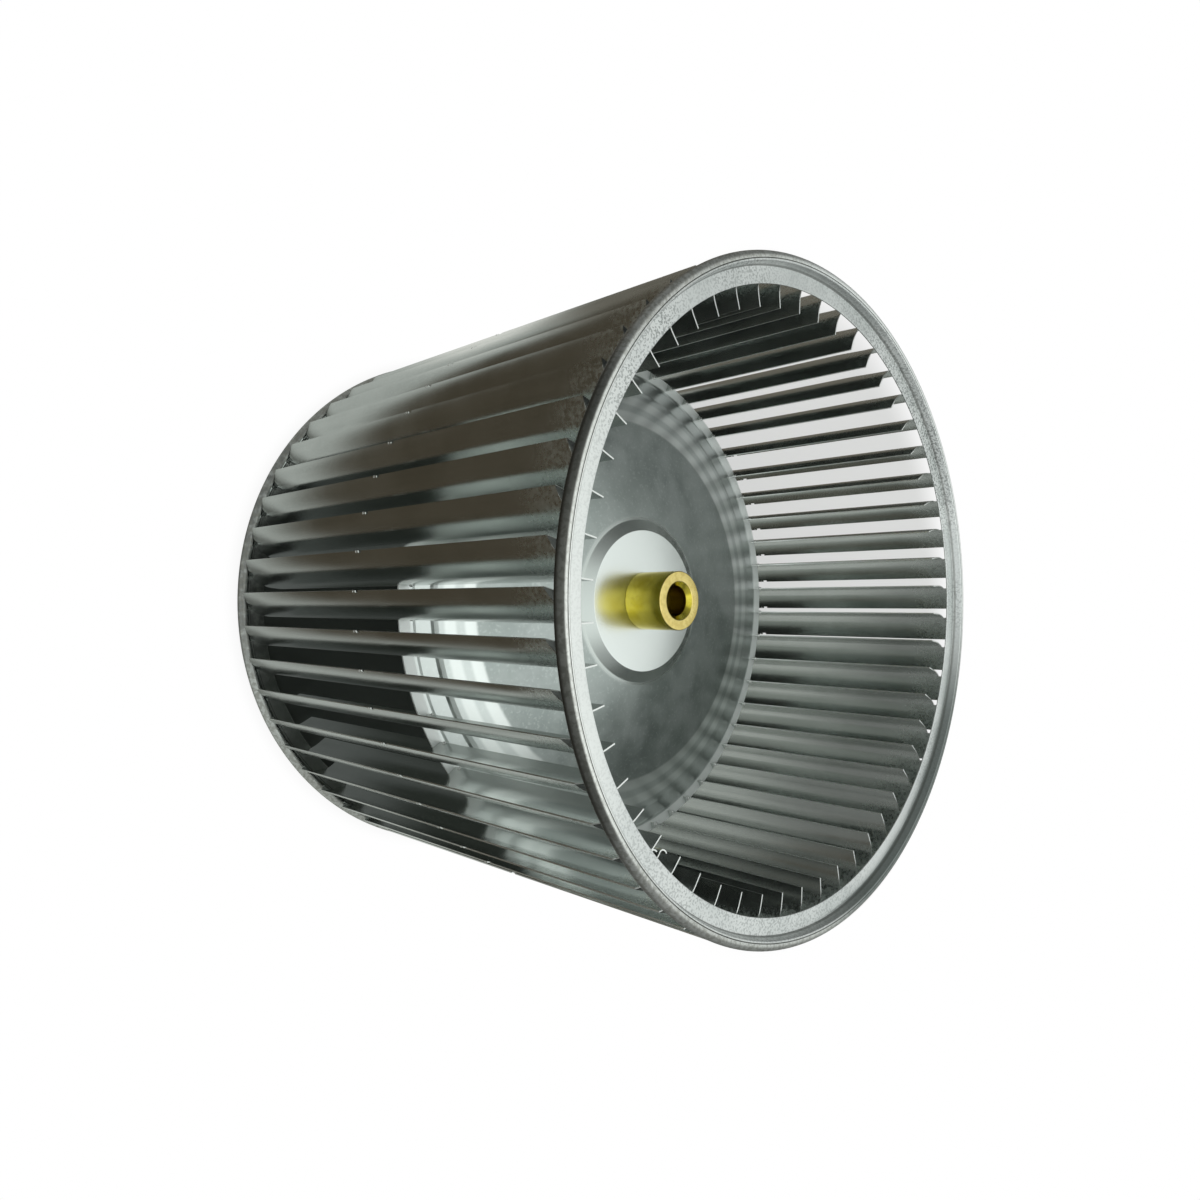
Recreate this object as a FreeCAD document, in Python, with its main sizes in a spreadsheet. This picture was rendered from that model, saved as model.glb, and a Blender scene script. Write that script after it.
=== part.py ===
"""Blower wheel, double width and double inlet: a rolled drum of lanced blades between two rolled
end rings, on a dished centre plate with a turned hub.

Millimetres. The drum's axis is Z, and the wheel stands on the bead of its far ring: the origin is on
the axis, at the lowest point. Blade number 0 has its inner edge at angle 0, which is +X.
"""

import FreeCAD, Part
import math
import os

import Sketcher

Vector = FreeCAD.Vector

# Driving dimensions: name, value, what it is. Lengths in mm, angles in degrees.
SIZES = [
    ("outer_diameter", 254.0, "over the beads of the end rings"),
    ("overall_width", 221.0, "from bead crest to bead crest, along the axis"),
    ("blade_count", 54, "blades round the drum"),
    ("strip_sheet", 0.5, "sheet of the blade strip"),
    ("blade_tip_inset", 0.17, "outside of the beads to the blades' outer edges"),
    ("blade_lean", -2.0, "angle of a blade's flat lip from the radius"),
    ("blade_lip", 4.2, "flat length next to the inner edge"),
    ("blade_bend_radius", 14.0, "hollow side of the curved part"),
    ("blade_bend_angle", 76.7, "how far the curved part turns"),
    ("blade_end_gap", 3.0, "flange plane to the cut ends of the blades"),
    ("neck_depth", 8.0, "outside of the beads to the inner side of the necks"),
    ("neck_clearance", 0.1, "necks to the underside of the beads"),
    ("band_inset", 3.0, "outside of the beads to the outside of the strip's side bands"),
    ("band_depth", 2.1, "flange plane to a band's inward edge"),
    ("band_rise", 2.1, "flange plane to a band's outward edge, up inside the bead"),
    ("band_clearance", 0.1, "between a band and the bead round it"),
    ("seam_blade", 48, "number of the blade that the seam hook grips"),
    ("seam_offset", 7.3, "seam hook's stem to that blade's radius, sideways"),
    ("seam_depth", 12.4, "outside of the beads to the start of the hook's turn"),
    ("seam_hook_radius", 1.0, "hollow side of the hook"),
    ("seam_hook_angle", 150.0, "how far the hook turns"),
    ("ring_sheet", 0.6, "sheet of the end rings"),
    ("flange_depth", 11.15, "outside of the beads to the inner edge of an end ring"),
    ("bead_width", 4.9, "rolled bead, across; its corners are cut as on a regular octagon"),
    ("bead_crest", 3.4, "flange plane to the bead's crest"),
    ("bead_wall", 0.8, "inner wall of the bead"),
    ("plate_sheet", 0.8, "sheet of the centre plate"),
    ("plate_rim_height", 112.8, "underside of the plate's rim, above the wheel's foot"),
    ("plate_bite", 4.0, "blades' inner edges to the plate's edge, inside their slots"),
    ("plate_slot_clearance", 0.2, "over the plate and past its edge, in the slots"),
    ("rim_width", 5.9, "flat rim of the plate, across"),
    ("slope_width", 7.7, "sloping zone between that rim and the step, across"),
    ("rim_slope_rise", 1.6, "rise of the sloping zone"),
    ("rim_step_rise", 1.4, "rise of the step at the edge of the dish"),
    ("dish_rise", 15.6, "rise of the dish, from the step to the hub pad's skirt"),
    ("pad_skirt_radius", 36.7, "axis to the foot of the hub pad's skirt"),
    ("pad_skirt_rise", 1.8, "rise of the skirt"),
    ("pad_radius", 31.2, "flat pad that carries the hub"),
    ("hub_diameter", 25.4, "turned barrel of the hub"),
    ("hub_projection", 20.2, "hub face above the pad"),
    ("bore_diameter", 12.7, "shaft bore"),
    ("bore_mouth", 2.1, "chamfer at the near mouth of the bore"),
    ("spigot_diameter", 19.0, "hub spigot through the plate"),
    ("spigot_clearance", 0.05, "spigot to the edge of the plate's hole"),
    ("collar_diameter", 23.0, "spigot's end, rolled over behind the plate"),
    ("collar_thickness", 1.6, "height of that collar"),
    ("screw_diameter", 7.9, "set screw"),
    ("thread_clearance", 0.05, "set screw to the wall of its tapped hole"),
    ("screw_length", 5.6, "set screw, end to end"),
    ("screw_drop", 8.6, "hub face to the set screw's axis"),
    ("screw_angle", 73.7, "direction of the set screw round the hub"),
    ("screw_retreat", 0.3, "bore wall to the set screw's point"),
    ("screw_chamfer", 0.8, "chamfer at the set screw's point"),
    ("socket_width", 4.0, "across the flats of the set screw's socket"),
    ("socket_depth", 3.0, "depth of that socket"),
]

# Worked out from the driving dimensions: name, formula. A flange plane is the outward face of an end
# ring's flange, and half_ is the distance from the drum's mid plane.
LAYOUT = [
    ("ring_radius", "Sizes.outer_diameter / 2"),
    ("mid_height", "Sizes.overall_width / 2"),
    ("flange_height", "Sizes.overall_width - Sizes.bead_crest"),
    ("half_flange", "mid_height - Sizes.bead_crest"),
    ("flange_inner_radius", "ring_radius - Sizes.flange_depth"),
    ("bead_corner", "Sizes.bead_width * (1 - 1 / sqrt(2))"),
    ("bead_inner", "ring_radius - Sizes.bead_width"),
    ("bead_inner_corner", "bead_inner + bead_corner"),
    ("bead_outer_corner", "ring_radius - bead_corner"),
    ("bead_top_corner", "Sizes.bead_crest - bead_corner"),
    ("bead_foot", "Sizes.bead_crest - Sizes.bead_width"),
    ("bead_foot_corner", "bead_foot + bead_corner"),
    ("band_outer_radius", "ring_radius - Sizes.band_inset"),
    ("bead_throat", "band_outer_radius + Sizes.band_clearance"),
    ("bead_inside", "bead_inner + Sizes.bead_wall"),
    ("bead_roof", "Sizes.band_rise + Sizes.band_clearance"),
    ("flange_under", "-Sizes.ring_sheet"),
    ("band_inner_radius", "band_outer_radius - Sizes.strip_sheet"),
    ("half_band_low", "half_flange - Sizes.band_depth"),
    ("half_band_high", "half_flange + Sizes.band_rise"),
    ("blade_crown_radius", "Sizes.blade_bend_radius + Sizes.strip_sheet"),
    ("blade_middle_radius", "Sizes.blade_bend_radius + Sizes.strip_sheet / 2"),
    ("lip_across", "Sizes.blade_lip * cos(Sizes.blade_lean)"),
    ("lip_up", "Sizes.blade_lip * sin(Sizes.blade_lean)"),
    ("bend_depth", "lip_across + Sizes.blade_bend_radius * sin(Sizes.blade_lean)"),
    ("bend_up", "lip_up - Sizes.blade_bend_radius * cos(Sizes.blade_lean)"),
    ("bend_end", "Sizes.blade_bend_angle - Sizes.blade_lean"),
    ("tip_depth", "bend_depth + blade_crown_radius * sin(bend_end)"),
    ("tip_up", "bend_up + blade_crown_radius * cos(bend_end)"),
    ("blade_tip_radius", "ring_radius - Sizes.blade_tip_inset"),
    ("blade_inner_radius", "sqrt(blade_tip_radius ^ 2 - tip_up ^ 2) - tip_depth"),
    ("bend_across", "blade_inner_radius + bend_depth"),
    ("half_blade", "half_flange - Sizes.blade_end_gap"),
    ("half_neck", "half_flange + bead_foot - Sizes.neck_clearance"),
    ("neck_span", "2 * half_neck"),
    ("neck_inner_radius", "ring_radius - Sizes.neck_depth"),
    ("notch_start", "blade_inner_radius - 2 * Sizes.strip_sheet"),
    ("half_notch_end", "half_neck + Sizes.strip_sheet"),
    ("far_blade", "-half_blade"),
    ("far_notch_end", "-half_notch_end"),
    ("slot_low", "Sizes.plate_rim_height - mid_height"),
    ("slot_high", "slot_low + Sizes.plate_sheet + Sizes.plate_slot_clearance"),
    ("plate_rim_radius", "blade_inner_radius + Sizes.plate_bite"),
    ("slot_bottom", "plate_rim_radius + Sizes.plate_slot_clearance"),
    ("blade_pitch", "360 / Sizes.blade_count"),
    ("seam_angle", "blade_pitch * Sizes.seam_blade"),
    ("seam_tip_radius", "ring_radius - Sizes.seam_depth"),
    ("seam_side", "-Sizes.seam_offset"),
    ("seam_middle", "seam_side - Sizes.strip_sheet / 2"),
    ("seam_reach", "sqrt(blade_middle_radius ^ 2 - (seam_middle - bend_up) ^ 2)"),
    ("seam_root_radius", "bend_across + seam_reach"),
    ("seam_crown_radius", "Sizes.seam_hook_radius + Sizes.strip_sheet"),
    ("blade_span", "2 * half_blade"),
    ("slope_high", "Sizes.rim_slope_rise"),
    ("step_high", "slope_high + Sizes.rim_step_rise"),
    ("dish_high", "step_high + Sizes.dish_rise"),
    ("pad_high", "dish_high + Sizes.pad_skirt_rise"),
    ("plate_top", "Sizes.plate_sheet"),
    ("slope_top", "slope_high + Sizes.plate_sheet"),
    ("step_top", "step_high + Sizes.plate_sheet"),
    ("dish_top", "dish_high + Sizes.plate_sheet"),
    ("pad_top", "pad_high + Sizes.plate_sheet"),
    ("spigot_radius", "Sizes.spigot_diameter / 2"),
    ("rim_flat_radius", "plate_rim_radius - Sizes.rim_width"),
    ("rim_step_radius", "rim_flat_radius - Sizes.slope_width"),
    ("step_foot_radius", "rim_step_radius + Sizes.plate_sheet"),
    ("plate_hole_radius", "spigot_radius + Sizes.spigot_clearance"),
    ("hub_seat_height", "Sizes.plate_rim_height + pad_top"),
    ("hub_radius", "Sizes.hub_diameter / 2"),
    ("bore_radius", "Sizes.bore_diameter / 2"),
    ("bore_mouth_radius", "bore_radius + Sizes.bore_mouth"),
    ("bore_mouth_height", "Sizes.hub_projection - Sizes.bore_mouth"),
    ("collar_radius", "Sizes.collar_diameter / 2"),
    ("collar_top", "-Sizes.plate_sheet"),
    ("collar_foot", "collar_top - Sizes.collar_thickness"),
    ("screw_height", "Sizes.hub_projection - Sizes.screw_drop"),
    ("screw_radius", "Sizes.screw_diameter / 2"),
    ("screw_point_radius", "screw_radius - Sizes.screw_chamfer"),
    ("screw_start", "bore_radius + Sizes.screw_retreat"),
    ("screw_across", "screw_start * cos(Sizes.screw_angle)"),
    ("screw_aside", "screw_start * sin(Sizes.screw_angle)"),
    ("screw_level", "hub_seat_height + screw_height"),
    ("screw_hole_radius", "screw_radius + Sizes.thread_clearance"),
    ("socket_corner_radius", "Sizes.socket_width / sqrt(3)"),
]

document = FreeCAD.newDocument("BlowerWheel")


def fill_sheet(name, rows):
    """A sheet with a row for each size: its name, its value with that name as alias, and a note."""
    sheet = document.addObject("Spreadsheet::Sheet", name)
    for number, row in enumerate(rows, start=1):
        sheet.set(f"A{number}", row[0])
        sheet.set(f"B{number}", row[1])
        sheet.setAlias(f"B{number}", row[0])
        if len(row) > 2:
            sheet.set(f"C{number}", row[2])
    document.recompute()
    return sheet


sizes = fill_sheet("Sizes", [(name, str(value), note) for name, value, note in SIZES])
layout = fill_sheet("Layout", [(name, "=" + formula) for name, formula in LAYOUT])
SIZE_NAMES = {name for name, value, note in SIZES}


def cell(name):
    """The name of a size as an expression, from whichever sheet holds it."""
    return f"Sizes.{name}" if name in SIZE_NAMES else f"Layout.{name}"


def value(name):
    """The present value of a size; None stands for zero."""
    if name is None:
        return 0.0
    return float((sizes if name in SIZE_NAMES else layout).get(name))


def new_body(name):
    body = document.addObject("PartDesign::Body", name)
    body.Label = name
    return body


def origin_feature(body, role):
    return next(feature for feature in body.Origin.OriginFeatures if feature.Role == role)


def new_sketch(body, name, role):
    """A sketch on one of the body's own origin planes."""
    sketch = body.newObject("Sketcher::SketchObject", name)
    sketch.AttachmentSupport = [(origin_feature(body, role), "")]
    sketch.MapMode = "FlatFace"
    return sketch


def hold(sketch, kind, *where, size=None, label=None):
    """One constraint. With a size it takes that cell's value, and keeps following it."""
    if size is None:
        sketch.addConstraint(Sketcher.Constraint(kind, *where))
        return
    amount = math.radians(value(size)) if kind == "Angle" else value(size)
    index = sketch.addConstraint(Sketcher.Constraint(kind, *where, amount))
    sketch.renameConstraint(index, label)
    sketch.setExpression(f"Constraints.{label}", cell(size))


def add_outline(sketch, corners, prefix="p"):
    """A closed outline with straight sides. Each corner is a pair of size names, across and up, and
    None puts it on the sketch's axis."""
    first = sketch.GeometryCount
    points = [Vector(value(across), value(up), 0) for across, up in corners]
    for start, end in zip(points, points[1:] + points[:1]):
        sketch.addGeometry(Part.LineSegment(start, end), False)
    for number, (across, up) in enumerate(corners):
        side = first + number
        following = first + (number + 1) % len(corners)
        hold(sketch, "Coincident", side, 2, following, 1)
        if across is None:
            hold(sketch, "PointOnObject", side, 1, -2)
        else:
            hold(sketch, "DistanceX", -1, 1, side, 1, size=across, label=f"{prefix}{number}_across")
        if up is None:
            hold(sketch, "PointOnObject", side, 1, -1)
        else:
            hold(sketch, "DistanceY", -1, 1, side, 1, size=up, label=f"{prefix}{number}_up")


def turn(body, name, sketch, kind="PartDesign::Revolution"):
    """A full turn of the sketch round its vertical axis: added, or cut away by a Groove."""
    feature = body.newObject(kind, name)
    feature.Profile = sketch
    feature.ReferenceAxis = (sketch, ["V_Axis"])
    feature.Angle = 360.0
    sketch.Visibility = False
    return feature


def blade_section(body):
    """One blade seen along the axis, blade 0: a flat lip outwards from the inner edge, then a bend
    towards the clockwise side. It is one sheet thick, between a hollow and a crown side."""
    sketch = new_sketch(body, "BladeSection", "XY_Plane")
    sheet = value("strip_sheet")
    lean = math.radians(value("blade_lean"))
    end = lean - math.radians(value("blade_bend_angle"))
    centre = Vector(value("bend_across"), value("bend_up"), 0)
    inner_edge = Vector(value("blade_inner_radius"), 0, 0)
    lip = Vector(value("lip_across"), value("lip_up"), 0)
    through = Vector(-math.sin(lean), math.cos(lean), 0) * sheet
    tip = Vector(-math.sin(end), math.cos(end), 0)
    tip_hollow = centre + tip * value("blade_bend_radius")
    tip_crown = centre + tip * value("blade_crown_radius")
    up = Vector(0, 0, 1)
    hollow_circle = Part.Circle(centre, up, value("blade_bend_radius"))
    crown_circle = Part.Circle(centre, up, value("blade_crown_radius"))
    quarter = math.pi / 2
    lip_hollow = sketch.addGeometry(Part.LineSegment(inner_edge, inner_edge + lip), False)
    lip_crown = sketch.addGeometry(Part.LineSegment(inner_edge + through, inner_edge + through + lip), False)
    inner = sketch.addGeometry(Part.LineSegment(inner_edge, inner_edge + through), False)
    hollow = sketch.addGeometry(Part.ArcOfCircle(hollow_circle, end + quarter, lean + quarter), False)
    crown = sketch.addGeometry(Part.ArcOfCircle(crown_circle, end + quarter, lean + quarter), False)
    outer = sketch.addGeometry(Part.LineSegment(tip_hollow, tip_crown), False)
    hold(sketch, "Coincident", inner, 1, lip_hollow, 1)
    hold(sketch, "Coincident", inner, 2, lip_crown, 1)
    hold(sketch, "Coincident", outer, 1, hollow, 1)
    hold(sketch, "Coincident", outer, 2, crown, 1)
    hold(sketch, "Tangent", lip_hollow, 2, hollow, 2)
    hold(sketch, "Tangent", lip_crown, 2, crown, 2)
    hold(sketch, "Coincident", hollow, 3, crown, 3)
    hold(sketch, "PointOnObject", hollow, 3, outer)
    hold(sketch, "Parallel", lip_hollow, lip_crown)
    hold(sketch, "Perpendicular", inner, lip_hollow)
    hold(sketch, "PointOnObject", inner, 1, -1)
    hold(sketch, "DistanceX", -1, 1, inner, 1, size="blade_inner_radius", label="inner_radius")
    hold(sketch, "Distance", lip_hollow, size="blade_lip", label="lip")
    hold(sketch, "Radius", hollow, size="blade_bend_radius", label="bend_radius")
    hold(sketch, "Radius", crown, size="blade_crown_radius", label="crown_radius")
    hold(sketch, "Angle", lip_hollow, size="blade_lean", label="lean")
    hold(sketch, "Angle", outer, inner, size="blade_bend_angle", label="bend_angle")
    return sketch


def seam_section(body):
    """The strip's free end, seen along the axis beside the blade that it grips: a flat stem from the
    hollow side of that blade inwards, and a hook that turns towards the blade's lip."""
    sketch = new_sketch(body, "SeamSection", "XY_Plane")
    sketch.setExpression("AttachmentOffset.Rotation.Angle", cell("seam_angle"))
    hook = value("seam_hook_radius")
    side = value("seam_side")
    low = side - value("strip_sheet")
    root = value("seam_root_radius")
    tip = value("seam_tip_radius")
    centre = Vector(tip, side + hook, 0)
    last = 1.5 * math.pi
    first = last - math.radians(value("seam_hook_angle"))
    end = Vector(math.cos(first), math.sin(first), 0)
    up = Vector(0, 0, 1)
    hollow_circle = Part.Circle(centre, up, hook)
    crown_circle = Part.Circle(centre, up, value("seam_crown_radius"))
    near = sketch.addGeometry(Part.LineSegment(Vector(tip, side, 0), Vector(root, side, 0)), False)
    far = sketch.addGeometry(Part.LineSegment(Vector(tip, low, 0), Vector(root, low, 0)), False)
    foot = sketch.addGeometry(Part.LineSegment(Vector(root, side, 0), Vector(root, low, 0)), False)
    hollow = sketch.addGeometry(Part.ArcOfCircle(hollow_circle, first, last), False)
    crown = sketch.addGeometry(Part.ArcOfCircle(crown_circle, first, last), False)
    hollow_end = centre + end * hook
    crown_end = centre + end * value("seam_crown_radius")
    close = sketch.addGeometry(Part.LineSegment(hollow_end, crown_end), False)
    hold(sketch, "Tangent", near, 1, hollow, 2)
    hold(sketch, "Tangent", far, 1, crown, 2)
    hold(sketch, "Coincident", near, 2, foot, 1)
    hold(sketch, "Coincident", far, 2, foot, 2)
    hold(sketch, "Coincident", close, 1, hollow, 1)
    hold(sketch, "Coincident", close, 2, crown, 1)
    hold(sketch, "Coincident", hollow, 3, crown, 3)
    hold(sketch, "PointOnObject", hollow, 3, close)
    hold(sketch, "Horizontal", near)
    hold(sketch, "Horizontal", far)
    hold(sketch, "Vertical", foot)
    hold(sketch, "DistanceX", -1, 1, near, 1, size="seam_tip_radius", label="tip")
    hold(sketch, "DistanceX", -1, 1, near, 2, size="seam_root_radius", label="root")
    hold(sketch, "DistanceY", -1, 1, near, 2, size="seam_side", label="side")
    hold(sketch, "Radius", hollow, size="seam_hook_radius", label="hook")
    hold(sketch, "Radius", crown, size="seam_crown_radius", label="crown")
    hold(sketch, "Angle", close, foot, size="seam_hook_angle", label="hook_angle")
    return sketch


def pad_both_ways(body, name, sketch, length):
    """The sketch drawn out along the axis, as far on each side of the mid plane."""
    pad = body.newObject("PartDesign::Pad", name)
    pad.Profile = sketch
    pad.Midplane = True
    pad.Length = value(length)
    pad.setExpression("Length", cell(length))
    sketch.Visibility = False
    return pad


def make_blade_strip():
    """The drum: one sheet strip with two side bands, a blade for every pitch, cut free at its ends but
    for a neck at its outer side, slots for the centre plate, and the hooked seam. Its own XY plane is
    the drum's mid plane."""
    body = new_body("blade_strip")
    bands = new_sketch(body, "BandSection", "XZ_Plane")
    add_outline(bands, [("band_inner_radius", "half_band_low"), ("band_outer_radius", "half_band_low"),
                        ("band_outer_radius", "half_band_high"), ("band_inner_radius", "half_band_high")])
    band = turn(body, "NearBand", bands)
    mirror = body.newObject("PartDesign::Mirrored", "FarBand")
    mirror.Originals = [band]
    mirror.MirrorPlane = (origin_feature(body, "XY_Plane"), [""])
    body.Tip = mirror
    blade = pad_both_ways(body, "Blade", blade_section(body), "neck_span")
    ring = body.newObject("PartDesign::PolarPattern", "Blades")
    ring.Originals = [blade]
    ring.Axis = (origin_feature(body, "Z_Axis"), [""])
    ring.Angle = 360.0
    ring.setExpression("Occurrences", cell("blade_count"))
    body.Tip = ring
    cuts = new_sketch(body, "NotchesAndSlot", "XZ_Plane")
    add_outline(cuts, [("notch_start", "half_blade"), ("neck_inner_radius", "half_blade"),
                       ("neck_inner_radius", "half_notch_end"), ("notch_start", "half_notch_end")], "near")
    add_outline(cuts, [("notch_start", "far_blade"), ("neck_inner_radius", "far_blade"),
                       ("neck_inner_radius", "far_notch_end"), ("notch_start", "far_notch_end")], "far")
    add_outline(cuts, [("notch_start", "slot_low"), ("slot_bottom", "slot_low"),
                       ("slot_bottom", "slot_high"), ("notch_start", "slot_high")], "slot")
    turn(body, "CutFree", cuts, "PartDesign::Groove")
    pad_both_ways(body, "SeamHook", seam_section(body), "blade_span")
    body.setExpression("Placement.Base.z", cell("mid_height"))
    return body


def make_near_ring():
    """An end ring: a flat flange whose outer edge is rolled up and over into a bead. The bead is open
    below, where the strip's band goes up into it. Its own XY plane is the flange plane."""
    body = new_body("end_ring_near")
    section = new_sketch(body, "RingSection", "XZ_Plane")
    add_outline(section, [
        ("flange_inner_radius", "flange_under"), ("flange_inner_radius", None), ("bead_inner", None),
        ("bead_inner", "bead_top_corner"), ("bead_inner_corner", "bead_crest"),
        ("bead_outer_corner", "bead_crest"), ("ring_radius", "bead_top_corner"),
        ("ring_radius", "bead_foot_corner"), ("bead_outer_corner", "bead_foot"),
        ("bead_throat", "bead_foot"), ("bead_throat", "bead_roof"), ("bead_inside", "bead_roof"),
        ("bead_inside", "flange_under"),
    ])
    turn(body, "Ring", section)
    body.setExpression("Placement.Base.z", cell("flange_height"))
    return body


def make_far_ring(near_ring):
    """The same ring at the far end, mirrored in the drum's mid plane."""
    mirrored = document.addObject("Part::Mirroring", "end_ring_far")
    mirrored.Label = "end_ring_far"
    mirrored.Source = near_ring
    mirrored.Normal = Vector(0, 0, 1)
    mirrored.setExpression("Base.z", cell("mid_height"))
    return mirrored


def make_centre_plate():
    """The dished disc that carries the drum: a raised pad for the hub, a skirt, the dish, a step, a
    sloping zone and the flat rim that sits in the blades' slots. Its own XY plane is the rim's underside."""
    body = new_body("centre_plate")
    section = new_sketch(body, "PlateSection", "XZ_Plane")
    add_outline(section, [
        ("plate_hole_radius", "pad_high"), ("pad_radius", "pad_high"), ("pad_skirt_radius", "dish_high"),
        ("rim_step_radius", "step_high"), ("step_foot_radius", "slope_high"), ("rim_flat_radius", None),
        ("plate_rim_radius", None), ("plate_rim_radius", "plate_top"), ("rim_flat_radius", "plate_top"),
        ("step_foot_radius", "slope_top"), ("rim_step_radius", "step_top"),
        ("pad_skirt_radius", "dish_top"), ("pad_radius", "pad_top"), ("plate_hole_radius", "pad_top"),
    ])
    turn(body, "Plate", section)
    body.setExpression("Placement.Base.z", cell("plate_rim_height"))
    return body


def make_hub():
    """The turned hub: a barrel on the pad, a spigot through the plate that is rolled over behind it, the
    shaft bore and the tapped hole of the set screw. Its own XY plane is the pad, and the hole is at +X
    until the hub is turned to the screw's direction."""
    body = new_body("hub")
    section = new_sketch(body, "HubSection", "XZ_Plane")
    add_outline(section, [
        ("bore_radius", "collar_foot"), ("collar_radius", "collar_foot"), ("collar_radius", "collar_top"),
        ("spigot_radius", "collar_top"), ("spigot_radius", None), ("hub_radius", None),
        ("hub_radius", "hub_projection"), ("bore_mouth_radius", "hub_projection"),
        ("bore_radius", "bore_mouth_height"),
    ])
    turn(body, "Barrel", section)
    tapping = new_sketch(body, "ScrewHoleSection", "YZ_Plane")
    circle = tapping.addGeometry(Part.Circle(Vector(0, value("screw_height"), 0), Vector(0, 0, 1),
                                             value("screw_hole_radius")), False)
    hold(tapping, "PointOnObject", circle, 3, -2)
    hold(tapping, "DistanceY", -1, 1, circle, 3, size="screw_height", label="height")
    hold(tapping, "Radius", circle, size="screw_hole_radius", label="radius")
    hole = body.newObject("PartDesign::Pocket", "ScrewHole")
    hole.Profile = tapping
    hole.Reversed = True
    hole.setExpression("Length", cell("hub_diameter"))
    tapping.Visibility = False
    body.setExpression("Placement.Rotation.Angle", cell("screw_angle"))
    body.setExpression("Placement.Base.z", cell("hub_seat_height"))
    return body


def make_set_screw():
    """The headless set screw. Its own Z axis runs outwards from its point, and it lies along the hole."""
    body = new_body("set_screw")
    section = new_sketch(body, "ScrewSection", "XZ_Plane")
    add_outline(section, [(None, None), ("screw_point_radius", None), ("screw_radius", "screw_chamfer"),
                          ("screw_radius", "screw_length"), (None, "screw_length")])
    turn(body, "Screw", section)
    socket = new_sketch(body, "SocketSection", "XY_Plane")
    socket.setExpression("AttachmentOffset.Base.z", cell("screw_length"))
    add_hexagon(socket, "socket_corner_radius")
    pocket = body.newObject("PartDesign::Pocket", "Socket")
    pocket.Profile = socket
    pocket.setExpression("Length", cell("socket_depth"))
    socket.Visibility = False
    outwards = FreeCAD.Rotation(Vector(0, 0, 1), value("screw_angle"))
    laid_down = FreeCAD.Rotation(Vector(0, 1, 0), 90)
    body.Placement.Rotation = outwards.multiply(laid_down)
    body.setExpression("Placement.Base.x", cell("screw_across"))
    body.setExpression("Placement.Base.y", cell("screw_aside"))
    body.setExpression("Placement.Base.z", cell("screw_level"))
    return body


def add_hexagon(sketch, corner_radius):
    """A regular hexagon about the origin, its first corner on the sketch's horizontal axis."""
    radius = value(corner_radius)
    corners = [Vector(radius * math.cos(math.radians(60 * k)), radius * math.sin(math.radians(60 * k)), 0)
               for k in range(6)]
    guide = sketch.addGeometry(Part.Circle(Vector(0, 0, 0), Vector(0, 0, 1), radius), True)
    hold(sketch, "Coincident", guide, 3, -1, 1)
    hold(sketch, "Radius", guide, size=corner_radius, label="corner_radius")
    sides = [sketch.addGeometry(Part.LineSegment(corners[k], corners[(k + 1) % 6]), False) for k in range(6)]
    for k, side in enumerate(sides):
        hold(sketch, "Coincident", side, 2, sides[(k + 1) % 6], 1)
        hold(sketch, "PointOnObject", side, 1, guide)
        if k:
            hold(sketch, "Equal", sides[0], side)
    hold(sketch, "PointOnObject", sides[0], 1, -1)


near_ring = make_near_ring()
parts = [make_blade_strip(), near_ring, make_far_ring(near_ring), make_centre_plate(), make_hub(),
         make_set_screw()]
document.recompute()

for item in document.Objects:
    if "Invalid" in item.State or "Error" in item.State:
        raise RuntimeError(f"{item.Label} did not build: {item.State}")
for part in parts:
    if part.Shape.isNull() or not part.Shape.isValid():
        raise RuntimeError(f"{part.Label} has no valid shape")

os.makedirs("parts", exist_ok=True)
for part in parts:
    part.Shape.exportStep(f"parts/{part.Label}.step")
    print(part.Label, "solids", len(part.Shape.Solids), "volume", round(part.Shape.Volume, 1))
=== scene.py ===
"""Looks of the blower wheel: its blades, end rings, centre plate and hub as smooth sheet and turned
metal, with their finishes, the floor, the light and the camera.

Metres, in the frame of the CAD model: the wheel's axis is Z, and the wheel stands on the bead of its
far ring. Shapes are worked out in millimetres and scaled once, where their mesh is made.
"""

import math

import bpy
import numpy as np
from mathutils import Matrix


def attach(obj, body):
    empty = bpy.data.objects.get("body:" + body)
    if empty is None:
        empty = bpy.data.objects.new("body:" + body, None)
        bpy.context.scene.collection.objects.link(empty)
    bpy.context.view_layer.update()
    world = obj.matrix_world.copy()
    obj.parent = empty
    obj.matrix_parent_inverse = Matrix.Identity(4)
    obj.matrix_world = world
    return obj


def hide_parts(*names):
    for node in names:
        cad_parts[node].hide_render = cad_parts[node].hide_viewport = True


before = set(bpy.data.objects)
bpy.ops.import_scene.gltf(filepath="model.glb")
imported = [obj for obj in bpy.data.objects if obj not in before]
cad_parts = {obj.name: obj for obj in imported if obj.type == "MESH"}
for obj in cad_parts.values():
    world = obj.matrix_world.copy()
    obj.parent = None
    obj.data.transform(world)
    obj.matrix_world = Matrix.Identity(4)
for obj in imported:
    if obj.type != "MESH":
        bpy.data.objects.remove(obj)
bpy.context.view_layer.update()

MM = 0.001

# Heights above the foot, radii and lengths in millimetres, and angles in radians, as the solids have
# them. CUT_END and BEAD_THROAT are heights over the flange's plane, where a blade's end is cut and where
# only its neck's tongue, NECK_TONGUE wide, goes on. NICK_DEPTH and NECK_TONGUE start at its free edge.
FLANGE_NEAR = 217.6
FLANGE_FAR = 3.4
MID_HEIGHT = (FLANGE_NEAR + FLANGE_FAR) / 2
SHEET = 0.5
RING_SHEET = 0.6
BLADES = 54
PITCH = math.tau / BLADES
BLADE_INNER = 108.4
BLADE_LEAN = math.radians(-2.0)
BLADE_LIP = 4.2
BEND_RADIUS = 14.0
BEND_ANGLE = math.radians(76.7)
BLADE_WIDTH = BLADE_LIP + BEND_RADIUS * BEND_ANGLE
NECK_RADIUS = 118.6
NECK_TONGUE = 6.5
BAND_RADIUS = 123.5
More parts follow.
